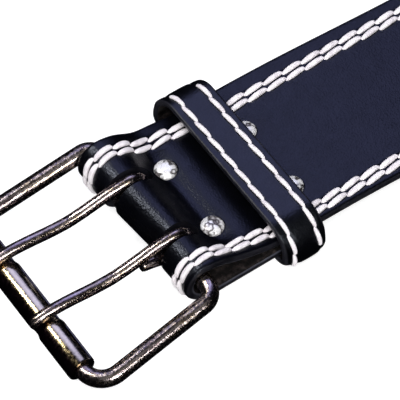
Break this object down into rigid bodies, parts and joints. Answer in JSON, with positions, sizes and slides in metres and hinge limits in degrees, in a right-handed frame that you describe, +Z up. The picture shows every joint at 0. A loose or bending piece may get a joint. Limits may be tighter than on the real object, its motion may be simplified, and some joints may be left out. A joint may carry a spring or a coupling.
{
  "type": "weightlifting belt",
  "caption": "Tapered black leather weightlifting belt with a double-prong roller buckle, dome rivets, a stitched keeper loop and a wide back, lying flat and open.",
  "frame": {"origin": "middle of the belt's box, on the surface that it lies on", "axes": "+X along the belt towards its rounded tip, +Y across it, +Z up out of its outer face"},
  "size_m": [1.0562, 0.1016, 0.0235],
  "materials": {
    "strap_leather": "smooth, slightly glossy",
    "keeper_leather": "smooth, satin",
    "buckle_nickel": "polished nickel plate",
    "rivet_nickel": "polished nickel plate"
  },
  "bodies": {
    "strap": {"strap": "strap_leather", "keeper": "keeper_leather", "rivet_front_near": "rivet_nickel", "rivet_front_far": "rivet_nickel", "rivet_rear_near": "rivet_nickel", "rivet_rear_far": "rivet_nickel"},
    "buckle": {"buckle_frame": "buckle_nickel"},
    "roller": {"roller": "buckle_nickel"},
    "prong_near": {"prong_near": "buckle_nickel"},
    "prong_far": {"prong_far": "buckle_nickel"}
  },
  "joints": [
    {"name": "buckle_tilt", "type": "hinge", "parent": "strap", "child": "buckle", "pos_m": [-0.47191, -0.0018, 0.0154], "axis": [0, 1, 0], "range_deg": [-30, 30]},
    {"name": "roller_spin", "type": "hinge", "parent": "buckle", "child": "roller", "pos_m": [-0.52117, -0.0018, 0.0052], "axis": [0, 1, 0], "continuous": true},
    {"name": "prong_near_swing", "type": "hinge", "parent": "buckle", "child": "prong_near", "pos_m": [-0.47191, -0.0018, 0.0154], "axis": [0, 1, 0], "range_deg": [0, 90]},
    {"name": "prong_far_swing", "type": "hinge", "parent": "buckle", "child": "prong_far", "pos_m": [-0.47191, -0.0018, 0.0154], "axis": [0, 1, 0], "range_deg": [0, 90]}
  ]
}
